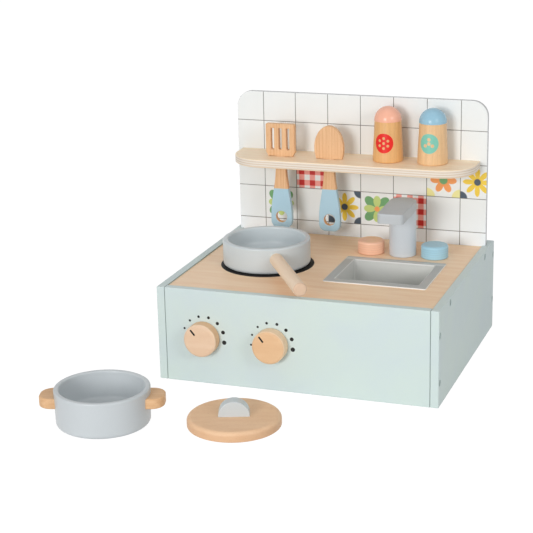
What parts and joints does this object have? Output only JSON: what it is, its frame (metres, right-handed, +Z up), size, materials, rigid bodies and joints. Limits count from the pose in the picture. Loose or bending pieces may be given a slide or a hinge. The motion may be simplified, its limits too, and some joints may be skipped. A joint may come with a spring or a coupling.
{
  "type": "portable play kitchen",
  "caption": "Tabletop wooden play kitchen: cabinet with stove knobs, hob, sink and taps, lift-out splash board with shelf, utensils, shakers, frying pan, pot and lid.",
  "frame": {"origin": "centre of the cabinet's footprint, on the surface that it stands on", "axes": "+X to the right seen from the front, +Y to the back, +Z up"},
  "size_m": [0.4161, 0.4903, 0.2987],
  "materials": {
    "mint_paint": "satin paint on board",
    "counter_wood": "satin birch veneer",
    "plywood": "matt birch plywood with visible plies",
    "beech": "matt beech",
    "white_board": "white printed board",
    "grey_paint": "satin grey paint on wood",
    "blue_paint": "satin blue paint on wood",
    "coral_paint": "satin coral paint on wood",
    "utensil_wood": "beech with a painted blue grip",
    "black_paint": "matt black paint on board",
    "basin_plastic": "moulded grey",
    "steel": "zinc plated",
    "painted_screw": "painted over with the panel"
  },
  "bodies": {
    "cabinet": {"side_panel_left": "mint_paint", "side_panel_right": "mint_paint", "front_panel": "mint_paint", "back_panel": "mint_paint", "side_screws_left": "painted_screw", "side_screws_right": "painted_screw", "rear_rail": "counter_wood", "countertop": "counter_wood", "hob_disc": "black_paint", "sink_basin": "basin_plastic"},
    "stove_left": {"stove_knob_left": "beech", "stove_axle_left": "beech", "stove_washer_left": "steel", "stove_screw_left": "steel"},
    "stove_right": {"stove_knob_right": "beech", "stove_axle_right": "beech", "stove_washer_right": "steel", "stove_screw_right": "steel"},
    "hot_tap": {"hot_tap_knob": "coral_paint", "hot_tap_washer": "steel", "hot_tap_screw": "steel"},
    "cold_tap": {"cold_tap_knob": "blue_paint", "cold_tap_washer": "steel", "cold_tap_screw": "steel"},
    "faucet": {"faucet_column": "grey_paint", "faucet_spout": "grey_paint", "faucet_washer": "steel", "faucet_screw": "steel"},
    "splash": {"backsplash": "white_board", "shelf": "plywood", "shelf_screws": "steel"},
    "turner": {"slotted_turner": "utensil_wood"},
    "flat_spatula": {"spatula": "utensil_wood"},
    "salt_shaker": {"salt_shaker_body": "beech", "salt_shaker_cap": "coral_paint"},
    "pepper_shaker": {"pepper_shaker_body": "beech", "pepper_shaker_cap": "blue_paint"},
    "frying_pan": {"frying_pan_body": "grey_paint", "frying_pan_handle": "beech", "frying_pan_screw": "steel"},
    "pot": {"pot_body": "grey_paint", "pot_handle_left": "beech", "pot_handle_right": "beech", "pot_handle_screws": "steel"},
    "lid": {"lid_disc": "beech", "lid_knob": "grey_paint", "lid_screw": "steel"}
  },
  "joints": [
    {"name": "stove_left_turn", "type": "hinge", "parent": "cabinet", "child": "stove_left", "pos_m": [-0.112, -0.147, 0.0572], "axis": [0, -1, 0], "continuous": true},
    {"name": "stove_right_turn", "type": "hinge", "parent": "cabinet", "child": "stove_right", "pos_m": [-0.0274, -0.147, 0.0572], "axis": [0, -1, 0], "continuous": true},
    {"name": "hot_tap_turn", "type": "hinge", "parent": "cabinet", "child": "hot_tap", "pos_m": [0.0323, 0.0615, 0.1135], "axis": [0, 0, 1], "continuous": true},
    {"name": "cold_tap_turn", "type": "hinge", "parent": "cabinet", "child": "cold_tap", "pos_m": [0.1135, 0.0615, 0.1135], "axis": [0, 0, 1], "continuous": true},
    {"name": "faucet_swivel", "type": "hinge", "parent": "cabinet", "child": "faucet", "pos_m": [0.0729, 0.0615, 0.1135], "axis": [0, 0, 1], "range_deg": [-90, 90]},
    {"name": "splash_lift", "type": "slide", "parent": "cabinet", "child": "splash", "axis": [0, 0, 1], "range_m": [0, 0.045]},
    {"name": "turner_lift", "type": "slide", "parent": "splash", "child": "turner", "axis": [0, 0, 1], "range_m": [0, 0.1]},
    {"name": "spatula_lift", "type": "slide", "parent": "splash", "child": "flat_spatula", "axis": [0, 0, 1], "range_m": [0, 0.1]},
    {"name": "salt_lift", "type": "slide", "parent": "splash", "child": "salt_shaker", "axis": [0, 0, 1], "range_m": [0, 0.05]},
    {"name": "pepper_lift", "type": "slide", "parent": "splash", "child": "pepper_shaker", "axis": [0, 0, 1], "range_m": [0, 0.05]},
    {"name": "pan_lift", "type": "slide", "parent": "cabinet", "child": "frying_pan", "axis": [0, 0, 1], "range_m": [0, 0.1]},
    {"name": "pot_lift", "type": "slide", "parent": "cabinet", "child": "pot", "axis": [0, 0, 1], "range_m": [0, 0.1]},
    {"name": "lid_lift", "type": "slide", "parent": "cabinet", "child": "lid", "axis": [0, 0, 1], "range_m": [0, 0.1]}
  ]
}
